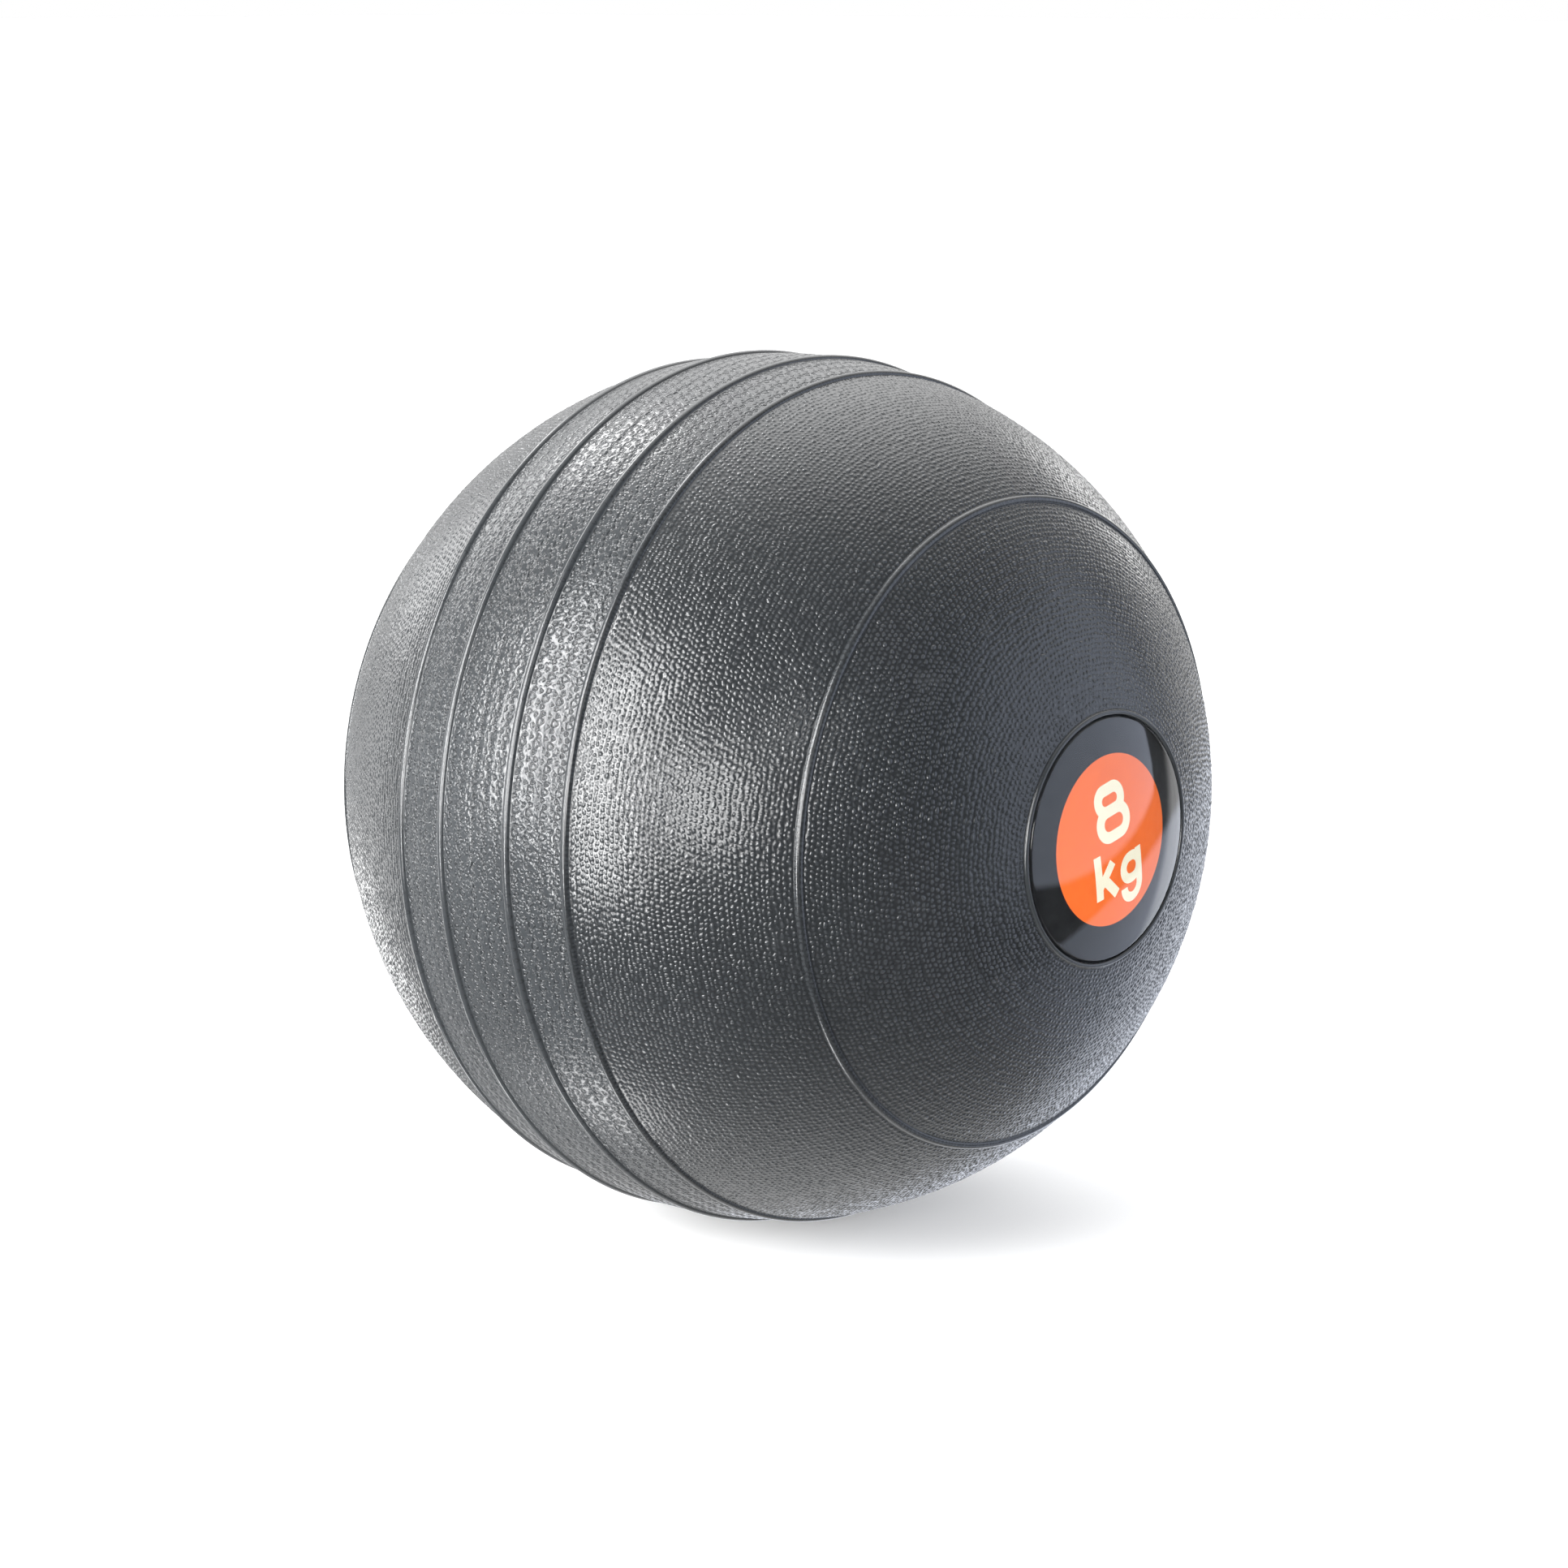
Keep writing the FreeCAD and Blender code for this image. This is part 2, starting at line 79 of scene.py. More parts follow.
# ------------------------------------------------------------------------- sizes of the moulded grain
PIP_ROW = 1.3  # from one row of pips to the next
POINTS_PER_PIP = 3  # round the ball
RINGS_PER_ROW = 3
PIP_REACH = 0.45  # radius of a pip, as a share of the pitch
PIP_HEIGHT = 0.27
PIP_LEAST = 0.4  # the lowest pip, as a share of the highest
PIP_SHIFT = 0.382  # each row starts this much of a pitch after the last
WOBBLE = 0.38  # how far the grid wanders, as a share of the pitch
LATTICE_ACROSS = 4.2
LATTICE_AROUND = 5.75
LATTICE_DEPTH = 0.16
LATTICE_WOBBLE = 0.03
# Grooved rings in one cell of the lattice: place across and around from the cell's middle, and radius.
LATTICE_RINGS = (
    (0.0, 0.0, 0.85), (0.35, 2.0, 0.45), (-0.45, -2.05, 0.5), (2.0, 1.1, 0.42), (1.8, -1.7, 0.46),
)
RING_SQUASH = 0.12  # how three-cornered the rings are
GROOVE = 0.3  # half the width of a ring's groove
GRAIN_FADE = 0.5  # distance from a rib or lip over which the grain comes up to its full height
PARTING_REACH = 0.25  # half the width of the parting line on the equator
PARTING_DEPTH = 0.13
PARTING_WAVES = (7, 11, 19, 31, 47)
FINE_RELIEF = 0.14  # height of the marks' finer shape
SKIN_RELIEF = 0.03  # height of the finest roughness of the skin

# ------------------------------------------------------------------ rings of points in the meshes
EQUATOR_ROWS = (0.0, 0.1, 0.22, 0.4)
RIB_ROWS = (0.0, 0.25, 0.5, 0.72, 0.9, 1.04, 1.13, 1.184, 1.28, 1.45, 1.7, 2.0)
BAND_ROW = 0.4
BAND_POINTS = 1800
# Points in a ring of the outside, by the largest radius that they serve.
CAP_POINTS = ((42, 480), (50, 600), (62, 720), (74, 900), (87, 1080), (99, 1260), (116, 1440))
LIP_RINGS, LIP_POINTS = 15, 480
LIP_START = 0.12  # angle from the skin up to a lip's first ring
WALL_TOP, WALL_LOW = 0.4, 0.6  # rings of a seat's wall: below the lip's centre, and above its foot
SEAT_FIRST, SEAT_LAST, SEAT_STEP = 1.0, 30.0, 1.5  # rings of a seat's floor
# Points in a ring of a seat's floor, by the smallest radius that they serve.
SEAT_POINTS = ((24.0, 360), (10.0, 180), (3.0, 90), (0.0, 24))
FOOT_CREASE = 0.06  # from the corner at a seat's foot to the rings beside it
CREASE = 0.1  # from a sharp edge of the port to the rings beside it
CAVITY_RINGS, PORT_POINTS = 110, 180
DOME_POINTS, DOME_MIDDLE_POINTS = 360, 90
DOME_MIDDLE = 6.0  # radius inside which a dome's rings have fewer points
FOOT_RINGS, RIM_RINGS, ROUND_RINGS, CROWN_RINGS = 40, 5, 9, 60


def arc_place(run):
    """(angle of the surface's normal, point in the half section) at a signed distance from the equator."""
    side = np.sign(run)
    along = np.abs(run)
    join = BALL_RADIUS * CAP_JOIN
    angle = np.where(along < join, along / BALL_RADIUS, CAP_JOIN + (along - join) / CAP_RADIUS)
    radius = np.where(
        along < join, BALL_RADIUS * np.cos(angle), CAP_CENTRE[0] + CAP_RADIUS * np.cos(angle)
    )
    height = np.where(
        along < join, BALL_RADIUS * np.sin(angle), CAP_CENTRE[1] + CAP_RADIUS * np.sin(angle)
    )
    return side * angle, radius, side * height


def run_to(angle):
    """Distance from the equator to the place where the surface's normal has this angle."""
    if angle < CAP_JOIN:
        return BALL_RADIUS * angle
    return BALL_RADIUS * CAP_JOIN + CAP_RADIUS * (angle - CAP_JOIN)


RIB_RUNS = [run_to(math.radians(a)) for a in RIB_ANGLES]
LIP_ANGLE = math.acos((SEAT_RADIUS + LIP_RADIUS - CAP_CENTRE[0]) / CAP_RADIUS)
LIP_RUN = run_to(LIP_ANGLE)
BAND_CELLS = round(2 * math.pi * BALL_RADIUS / LATTICE_AROUND)


# --------------------------------------------------------------------------------------- mesh building
def seam(first, first_count, second, second_count):
    """Faces between two rings of points, which may differ in their number of points: (quads, which of
    their corners have gone once round, triangles)."""
    if first_count == second_count:
        i = np.arange(first_count)
        j = (i + 1) % first_count
        last = i == first_count - 1
        never = np.zeros(first_count, bool)
        quads = np.stack([first + i, first + j, second + j, second + i], 1)
        return quads, np.stack([never, last, last, never], 1), np.zeros((0, 3), int)
    if first_count < second_count:
        quads, wraps, tris = seam(second, second_count, first, first_count)
        return quads, wraps, tris[:, ::-1]
    i = np.arange(first_count)
    nearest = np.floor((i + 0.5) * second_count / first_count + 0.5).astype(int) % second_count
    outer = np.stack([first + i, first + (i + 1) % first_count, second + nearest], 1)
    before = np.roll(nearest, 1)
    steps = np.nonzero(before != nearest)[0]
    inner = np.stack([first + steps, second + nearest[steps], second + before[steps]], 1)
    tris = np.concatenate([outer, inner if second_count > 1 else inner[:0]])
    return np.zeros((0, 4), int), np.zeros((0, 4), bool), tris


def ring_points(radii, heights, count):
    turn = np.arange(count) * 2 * math.pi / count
    return np.stack([radii * np.cos(turn), np.broadcast_to(heights, (count,)), radii * np.sin(turn)], 1)


def surface_between(rings):
    """Points, quads, the quads' corners that have gone once round, and triangles, all facing outwards."""
    points = np.concatenate([ring_points(*ring) for ring in rings]) * MM
    counts = [ring[2] for ring in rings]
    starts = np.cumsum(counts) - counts
    seams = [seam(starts[k], counts[k], starts[k + 1], counts[k + 1]) for k in range(len(rings) - 1)]
    quads, wraps, tris = (np.concatenate(part) for part in zip(*seams))
    halves = np.concatenate([quads[:, [0, 1, 2]], quads[:, [0, 2, 3]], tris])
    a, b, c = (points[halves[:, k]] for k in range(3))
    if np.einsum("ij,ij->i", a, np.cross(b, c)).sum() < 0:
        quads, wraps, tris = quads[:, ::-1], wraps[:, ::-1], tris[:, ::-1]
    return points, quads, wraps, tris


def write_grid(mesh, rings, grids, quads, wraps, tris):
    """Puts the grain's grid on the faces' corners. Triangles carry no grain."""
    corners = np.concatenate([quads.ravel(), tris.ravel()])
    u, v, weight, once = (
        np.concatenate([np.broadcast_to(grid[k], (ring[2],)) for grid, ring in zip(grids, rings)])
        for k in range(4)
    )
    gone = np.concatenate([wraps.ravel(), np.zeros(tris.size, bool)])
    on_quad = np.concatenate([np.ones(quads.size), np.zeros(tris.size)])
    data = np.stack([u[corners] + gone * once[corners], v[corners], weight[corners] * on_quad], 1)
    layer = mesh.attributes.new("grid", "FLOAT_VECTOR", "CORNER")
    layer.data.foreach_set("vector", data.astype(np.float32).ravel())


def write_bands(mesh, rings, bands):
    values = np.concatenate([np.full(ring[2], share) for ring, share in zip(rings, bands)])
    layer = mesh.attributes.new("band", "FLOAT", "POINT")
    layer.data.foreach_set("value", values.astype(np.float32))


def lathe(name, rings, grids=None, bands=None):
    """A closed mesh about the Y axis. rings holds (radii, heights, count), where radii and heights are one
    number or one per point, in millimetres; a ring of one point is a pole. grids holds, for each ring,
    (u, v, weight, u once round) of the grain, and bands is 1 for each ring in a band of the lattice."""
    points, quads, wraps, tris = surface_between(rings)
    corners = np.concatenate([quads.ravel(), tris.ravel()])
    sizes = np.concatenate([np.full(len(quads), 4), np.full(len(tris), 3)])
    mesh = bpy.data.meshes.new(name)
    mesh.vertices.add(len(points))
    mesh.vertices.foreach_set("co", points.astype(np.float32).ravel())
    mesh.loops.add(len(corners))
    mesh.loops.foreach_set("vertex_index", corners.astype(np.int32))
    mesh.polygons.add(len(sizes))
    mesh.polygons.foreach_set("loop_start", (np.cumsum(sizes) - sizes).astype(np.int32))
    mesh.polygons.foreach_set("use_smooth", np.ones(len(sizes), bool))
    mesh.update(calc_edges=True)
    if grids:
        write_grid(mesh, rings, grids, quads, wraps, tris)
        write_bands(mesh, rings, bands)
    return show(name, mesh)


def show(name, data):
    """A new object in the scene, for a mesh, a light or a camera."""
    obj = bpy.data.objects.new(name, data)
    bpy.context.scene.collection.objects.link(obj)
    return obj


# --------------------------------------------------------------------------------------- moulded grain
SCATTER_ROWS, SCATTER_COLUMNS = 512, 1024
SCATTER = np.random.default_rng(SEED).random((2, SCATTER_ROWS, SCATTER_COLUMNS)) - 0.5


def wobble(u, v, count):
    """Random shifts of the grain's grid, a new pair at each cell, which repeat after count cells round."""
    column, row = np.floor(u), np.floor(v)
    x, y = u - column, v - row
    total = 0.0
    for step_x, share_x in ((0, 1 - x), (1, x)):
        for step_y, share_y in ((0, 1 - y), (1, y)):
            key = ((row + step_y) % SCATTER_ROWS).astype(int), ((column + step_x) % count).astype(int)
            total = total + np.stack([SCATTER[k][key] for k in range(2)]) * share_x * share_y
    return 2 * total


def pips(u, v, count):
    """Height from 0 to 1 of the irregular pips: one in each cell of the grid, row by row."""
    row = np.rint(v)
    x = u + row * PIP_SHIFT
    column = np.rint(x)
    own = SCATTER[0][(row % SCATTER_ROWS).astype(int), (column % count).astype(int)] + 0.5
    height = PIP_LEAST + (1 - PIP_LEAST) * own
    return height * np.clip(1 - ((x - column) ** 2 + (v - row) ** 2) / PIP_REACH**2, 0, 1)


def lattice(u, v):
    """Height from -1 to 0 of the regular grooved rings in the bands between the middle ribs."""
    x, y = (v - np.rint(v)) * LATTICE_ACROSS, (u - np.rint(u)) * LATTICE_AROUND
    height = np.zeros_like(x)
    for across, around, radius in LATTICE_RINGS:
        turn = np.arctan2(y - around, x - across)
        squash = 1 + RING_SQUASH * np.cos(3 * turn)
        off = np.hypot(x - across, y - around) * squash - radius
        height = np.minimum(height, -np.clip(1 - (off / GROOVE) ** 2, 0, 1))
    return height


def parting_line(turn):
    """Smooth noise round the ball, from 0 to 1."""
    source = np.random.default_rng(SEED + 1)
    total = sum(
        np.sin(turn * k + source.uniform(0, 2 * math.pi)) * source.uniform(0.4, 1.0)
        for k in PARTING_WAVES
    )
    return 0.5 + 0.5 * np.tanh(total)


def outside_rows():
    """Distances from the equator of the rings of points over the outside, closest at the ribs."""
    rib_steps = np.array(RIB_ROWS)
    rows = [np.array(EQUATOR_ROWS)]
    edge = rows[0][-1]
    for k, rib in enumerate(RIB_RUNS):
        pitch = BAND_ROW if k < 2 else PIP_ROW / RINGS_PER_ROW
        stop = rib - rib_steps[-1]
        rows.append(np.linspace(edge, stop, math.ceil((stop - edge) / pitch), endpoint=False)[1:])
        rows.append(np.concatenate([rib - rib_steps[:0:-1], rib + rib_steps]))
        edge = rib + rib_steps[-1]
    stop = LIP_RUN - LIP_RADIUS
    rows.append(np.linspace(edge, stop, math.ceil((stop - edge) / PIP_ROW * RINGS_PER_ROW))[1:])
    half = np.concatenate(rows)
    return np.concatenate([half[::-1], -half[1:]])


def points_round(run):
    """Points in a ring. Where it changes, it changes in the hollow between two rows of pips."""
    if abs(run) < RIB_RUNS[1] + RIB_ROWS[-1]:
        return BAND_POINTS
    row = math.floor(abs(run) / PIP_ROW + 0.5)
    radius = float(arc_place(np.array(row * PIP_ROW))[1])
    return next(count for most, count in CAP_POINTS if radius <= most)


def band_grid(run, turn):
    """(u, v, cells round the ball, relief) of the lattice in a band."""
    side_band = abs(run) > RIB_RUNS[0]
    middle = math.copysign((RIB_RUNS[0] + RIB_RUNS[1]) / 2, run) if side_band else 0.0
    u = turn * BAND_CELLS
    v = np.full(len(turn), (run - middle) / LATTICE_ACROSS + (0.5 if side_band else 0.0))
    shift_u, shift_v = wobble(u, v, BAND_CELLS) * LATTICE_WOBBLE
    u, v = u + shift_u, v + shift_v
    return u, v, BAND_CELLS, LATTICE_DEPTH * lattice(u, v)


def pip_grid(run, turn):
    """(u, v, cells round the ball, relief) of the pips outside the bands."""
    cells = len(turn) // POINTS_PER_PIP
    u, v = turn * cells, np.full(len(turn), run / PIP_ROW)
    shift_u, shift_v = wobble(u, v, cells) * WOBBLE
    u, v = u + shift_u, v + shift_v
    return u, v, cells, PIP_HEIGHT * pips(u, v, cells)


def outside_ring(run):
    """One ring of the outside with its ribs and grain: (ring, grid, in a band or not)."""
    angle, radius, height = (float(v) for v in arc_place(np.array(run)))
    count = points_round(run)
    turn = np.arange(count) / count
    off_rib = min(abs(abs(run) - rib) for rib in RIB_RUNS)
    clear = min(off_rib - RIB_RADIUS, LIP_RUN - LIP_RADIUS - abs(run))
    weight = min(max(clear / GRAIN_FADE, 0.0), 1.0)

    in_band = abs(run) < RIB_RUNS[1]
    u, v, cells, relief = band_grid(run, turn) if in_band else pip_grid(run, turn)
    lift = relief * weight
    if off_rib < RIB_RADIUS:
        lift = lift + max(math.sqrt(RIB_RADIUS**2 - off_rib**2) - RIB_SINK - RIB_CLEAR, 0.0)
    if abs(run) < PARTING_REACH:
        lift = lift - PARTING_DEPTH * parting_line(turn * 2 * math.pi)
    ring = (radius + lift * math.cos(angle), height + lift * math.sin(angle), count)
    return ring, (u, v, weight, float(cells)), float(in_band)


# -------------------------------------------------------------------------------- shell and resin domes
def sphere_height(radius, across):
    return math.sqrt(radius**2 - across**2)


def lip_and_seat(side):
    """Rings over the lip and down to the seat's floor, on the side of +Y or -Y."""
    centre = np.array([SEAT_RADIUS + LIP_RADIUS, CAP_CENTRE[1] + CAP_RADIUS * math.sin(LIP_ANGLE)])
    outward = math.atan2(-math.cos(LIP_ANGLE), math.sin(LIP_ANGLE))
    rings = []
    for turn in np.linspace(outward + LIP_START, math.pi, LIP_RINGS):
        x, y = centre + LIP_RADIUS * np.array([math.cos(turn), math.sin(turn)])
        rings.append((x, side * y, LIP_POINTS))
    foot = sphere_height(SEAT_FLOOR, SEAT_RADIUS)
    for y in (centre[1] - WALL_TOP, foot + WALL_LOW, foot + FOOT_CREASE, foot):
        rings.append((SEAT_RADIUS, side * y, LIP_POINTS))
    inside = SEAT_RADIUS - FOOT_CREASE
    rings.append((inside, side * sphere_height(SEAT_FLOOR, inside), LIP_POINTS))
    return rings


def floor_rings(side, across):
    return [
        (x, side * sphere_height(SEAT_FLOOR, x), next(n for least, n in SEAT_POINTS if x >= least))
        for x in across
    ]


def port_rings():
    """Rings down the step for the stopper's head and the port, and round the cavity to its far pole."""
    step = SEAT_FLOOR - PLUG_HEAD_DEPTH
    tread = (
        (PLUG_HEAD_RADIUS, SEAT_FLOOR), (PLUG_HEAD_RADIUS, SEAT_FLOOR - CREASE),
        (PLUG_HEAD_RADIUS, step + CREASE), (PLUG_HEAD_RADIUS, step), (PLUG_HEAD_RADIUS - CREASE, step),
        (PORT_RADIUS + CREASE, step), (PORT_RADIUS, step), (PORT_RADIUS, step - CREASE),
        (PORT_RADIUS, CAVITY_RADIUS + CREASE), (PORT_RADIUS, CAVITY_RADIUS),
    )
    rings = [(x, -sphere_height(r, x), PORT_POINTS) for x, r in tread]
    first = math.acos(PORT_RADIUS / CAVITY_RADIUS)
    for angle in np.linspace(-first, math.pi / 2, CAVITY_RINGS)[1:-1]:
        rings.append((CAVITY_RADIUS * math.cos(angle), CAVITY_RADIUS * math.sin(angle), PORT_POINTS))
    return rings + [(0.0, CAVITY_RADIUS, 1)]


def make_shell():
    rings, grids, bands = [], [], []

    def plain(new):
        rings.extend(new)
        grids.extend([(0.0, 0.0, 0.0, 0.0)] * len(new))
        bands.extend([0.0] * len(new))

    plain([(0.0, SEAT_FLOOR, 1)])
    plain(floor_rings(1, np.arange(SEAT_FIRST, SEAT_LAST, SEAT_STEP)))
    plain(lip_and_seat(1)[::-1])
    for run in outside_rows():
        ring, grid, band = outside_ring(run)
        rings.append(ring)
        grids.append(grid)
        bands.append(band)
    plain(lip_and_seat(-1))
    plain(floor_rings(-1, np.arange(SEAT_LAST, PLUG_HEAD_RADIUS, -SEAT_STEP)))
    plain(port_rings())
    return lathe("shell_moulded", rings, grids, bands)


def make_dome(name, side):
    """Clear resin over a badge: foot on the print, square rim, rounded upper edge, domed crown."""
    crown_centre = DOME_CROWN - DOME_SECTION_RADIUS
    foot = BADGE_TOP + DOME_LIFT
    profile = [(x, sphere_height(foot, x)) for x in np.linspace(0, BADGE_RADIUS, FOOT_RINGS)[1:]]
    reach = DOME_SECTION_RADIUS - DOME_EDGE_ROUND
    round_x = BADGE_RADIUS - DOME_EDGE_ROUND
    round_y = crown_centre + math.sqrt(reach**2 - round_x**2)
    last = math.atan2(round_y - crown_centre, round_x)
    profile += [(BADGE_RADIUS, y) for y in np.linspace(profile[-1][1], round_y, RIM_RINGS)[1:-1]]
    profile += [
        (round_x + DOME_EDGE_ROUND * math.cos(t), round_y + DOME_EDGE_ROUND * math.sin(t))
        for t in np.linspace(0, last, ROUND_RINGS)
    ]
    profile += [
        (DOME_SECTION_RADIUS * math.cos(t), crown_centre + DOME_SECTION_RADIUS * math.sin(t))
        for t in np.linspace(last, math.pi / 2, CROWN_RINGS)[1:-1]
    ]
    rings = [(0.0, side * foot, 1)]
    rings += [(x, side * y, DOME_POINTS if x > DOME_MIDDLE else DOME_MIDDLE_POINTS) for x, y in profile]
    rings.append((0.0, side * DOME_CROWN, 1))
    return lathe(name, rings)


# ------------------------------------------------------------------------------------------- materials
class Nodes:
    """A node tree being built: nodes are added and joined by name."""

    def __init__(self, tree):
        self.tree = tree

    def add(self, kind, inputs=(), **settings):
        node = self.tree.nodes.new("ShaderNode" + kind)
        for key, value in settings.items():
            setattr(node, key, value)
        for key, value in dict(inputs).items():
            self.give(node.inputs[key], value)
        return node

    def give(self, socket, value):
        if isinstance(value, bpy.types.NodeSocket):
            self.tree.links.new(value, socket)
        else:
            socket.default_value = value

    def spread(self, value, low, high, to_low=0.0, to_high=1.0, kind="LINEAR"):
        inputs = {
            "Value": value, "From Min": low, "From Max": high, "To Min": to_low, "To Max": to_high,
        }
        return self.add("MapRange", inputs, interpolation_type=kind).outputs["Result"]

    def maths(self, operation, a, b=0.0):
        return self.add("Math", {0: a, 1: b}, operation=operation).outputs[0]

    def on_vectors(self, operation, a, b, output="Value"):
        return self.add("VectorMath", {0: a, 1: b}, operation=operation).outputs[output]


class Shader(Nodes):
    """A material with a Principled surface."""

    def __init__(self, name):
        self.material = bpy.data.materials.new(name)
        self.material.use_nodes = True
        super().__init__(self.material.node_tree)
        self.surface = self.tree.nodes["Principled BSDF"]
        self.place = self.tree.nodes.new("ShaderNodeTexCoord").outputs["Object"]

    def noise(self, scale, detail=3.0, roughness=0.5):
        inputs = {"Vector": self.place, "Scale": scale, "Detail": detail, "Roughness": roughness}
        return self.add("TexNoise", inputs).outputs["Fac"]

    def cells(self, scale):
        return self.add("TexVoronoi", {"Vector": self.place, "Scale": scale})

    def mix(self, share, a, b):
        return self.add("Mix", {0: share, 2: a, 3: b}, data_type="FLOAT").outputs[0]

    def blend(self, share, first, second):
        node = self.add("Mix", {"Factor": share}, data_type="RGBA")
        self.give(node.inputs[6], first)
        self.give(node.inputs[7], second)
        return node.outputs[2]

    def vector(self, x, y):
        return self.add("CombineXYZ", {"X": x, "Y": y}).outputs["Vector"]

    def length(self, vector):
        return self.on_vectors("DISTANCE", vector, (0.0, 0.0, 0.0))

    def bump(self, height, strength, distance):
        inputs = {"Height": height, "Strength": strength, "Distance": distance}
        self.give(self.surface.inputs["Normal"], self.add("Bump", inputs).outputs["Normal"])

    def set(self, **inputs):
        for key, value in inputs.items():
            self.give(self.surface.inputs[key.replace("_", " ")], value)


def grey(value, blue=0.0):
    return (value, value * (1 + 0.5 * blue), value * (1 + blue), 1.0)


def pip_marks(m, u, v):
    """Height from 0 to 1 of the pips' finer shape, where some pips are plainer than others."""
    row = m.maths("ROUND", v)
    shifted = m.maths("ADD", u, m.maths("MULTIPLY", row, PIP_SHIFT))
    column = m.maths("ROUND", shifted)
    off = m.vector(m.maths("SUBTRACT", shifted, column), m.maths("SUBTRACT", v, row))
    own = m.add("TexWhiteNoise", {"Vector": m.vector(column, row)}, noise_dimensions="3D")
    pip = m.spread(m.length(off), 0.08, PIP_REACH, 1.0, 0.0, "SMOOTHSTEP")
    return m.maths("MULTIPLY", pip, m.spread(own.outputs["Value"], 0.0, 1.0, 0.3, 1.0))


def lattice_marks(m, u, v):
    """Height of the grooved rings' finer shape, from -1 up, with fine grain between them."""
    x = m.maths("MULTIPLY", m.maths("SUBTRACT", v, m.maths("ROUND", v)), LATTICE_ACROSS)
    y = m.maths("MULTIPLY", m.maths("SUBTRACT", u, m.maths("ROUND", u)), LATTICE_AROUND)
    net = 0.0
    for across, around, radius in LATTICE_RINGS:
        dx, dy = m.maths("SUBTRACT", x, across), m.maths("SUBTRACT", y, around)
        three = m.maths("COSINE", m.maths("MULTIPLY", m.maths("ARCTAN2", dy, dx), 3.0))
        squash = m.maths("ADD", m.maths("MULTIPLY", three, RING_SQUASH), 1.0)
        out = m.maths("MULTIPLY", m.length(m.vector(dx, dy)), squash)
        off = m.maths("ABSOLUTE", m.maths("SUBTRACT", out, radius))
        net = m.maths("MINIMUM", net, m.spread(off, 0.04, GROOVE, -1.0, 0.0, "SMOOTHSTEP"))
    fine = m.spread(m.cells(1050.0).outputs["Distance"], 0.1, 0.55, 0.65, 0.0, "SMOOTHSTEP")
    return m.maths("ADD", net, fine)


def shell_material():
    """Moulded PVC: the finer shape of the pips and rings that the mesh has in outline, a fine skin, and
    painted shade that darkens the hollows between pips and the rings' grooves.
    """
    m = Shader("moulded_pvc")
    grid = m.add("SeparateXYZ", {"Vector": m.add("Attribute", attribute_name="grid").outputs["Vector"]})
    band = m.add("Attribute", attribute_name="band").outputs["Fac"]
    u, v, weight = (grid.outputs[axis] for axis in "XYZ")
    pip, net = pip_marks(m, u, v), lattice_marks(m, u, v)
    marks = m.maths("MULTIPLY", m.mix(band, pip, net), weight)
    skin = m.maths("MULTIPLY", m.noise(2600.0, 2.0), SKIN_RELIEF)
    m.bump(m.maths("ADD", m.maths("MULTIPLY", marks, FINE_RELIEF), skin), 1.0, MM)

    patches = m.spread(m.noise(22.0, 4.0), 0.3, 0.7)
    colour = m.blend(patches, grey(0.020, 0.2), grey(0.027, 0.2))
    top = m.mix(band, pip, m.maths("ADD", net, 1.0))
    # Painted shade: the colour darkens towards near black in the low parts between pips and in the rings'
    # grooves, where shade falls.
    painted_shade_in_hollows = m.spread(top, 0.0, 0.35, 0.7, 0.0)
    colour = m.blend(painted_shade_in_hollows, colour, grey(0.009, 0.2))
    scuffs = m.spread(m.noise(60.0, 6.0, 0.7), 0.62, 0.78, 0.0, 0.35)
    colour = m.blend(scuffs, colour, grey(0.055, 0.12))
    m.set(Base_Color=colour, Roughness=m.spread(m.noise(300.0, 3.0), 0.3, 0.7, 0.15, 0.22))
    return m.material


def resin_material():
    """Clear resin: what lies under it shows through, and a gloss lies over it on the outside only."""
    m = Shader("clear_resin")
    m.tree.nodes.remove(m.surface)
    ripple = m.noise(90.0, 2.0)
    normal = m.add("Bump", {"Height": ripple, "Strength": 0.12, "Distance": 0.0002}).outputs["Normal"]
    clear = m.add("BsdfTransparent", {"Color": (0.985, 0.985, 0.985, 1.0)}).outputs[0]
    rough = m.spread(m.noise(160.0, 3.0), 0.3, 0.7, 0.02, 0.045)
    inputs = {"Color": (1.0, 1.0, 1.0, 1.0), "Roughness": rough, "Normal": normal}
    gloss = m.add("BsdfGlossy", inputs).outputs[0]
    outside = m.spread(m.add("NewGeometry").outputs["Backfacing"], 0.0, 1.0, 1.0, 0.0)
    share = m.maths("MULTIPLY", m.add("Fresnel", {"IOR": 1.52, "Normal": normal}).outputs[0], outside)
    both = m.add("MixShader", {0: share, 1: clear, 2: gloss}).outputs[0]
    m.give(m.tree.nodes["Material Output"].inputs["Surface"], both)
    return m.material


INK_GLOSS = 0.06  # inks and badge are nearly matt: the gloss over them is the resin's


def print_material(name, colour, deep):
    """Screen-printed ink: a little mottling and a fine screen."""
    m = Shader(name)
    ink = m.blend(m.spread(m.noise(420.0, 4.0), 0.3, 0.7), colour, deep)
    screen = m.spread(m.cells(6500.0).outputs["Distance"], 0.1, 0.5, 0.94, 1.0)
    ink = m.blend(0.35, ink, m.blend(screen, deep, colour))
    rough = m.spread(m.noise(900.0), 0.3, 0.7, 0.5, 0.65)
    m.set(Base_Color=ink, Roughness=rough, Specular_IOR_Level=INK_GLOSS)
    m.bump(m.noise(3200.0, 2.0), 0.12, 0.00002)
    return m.material


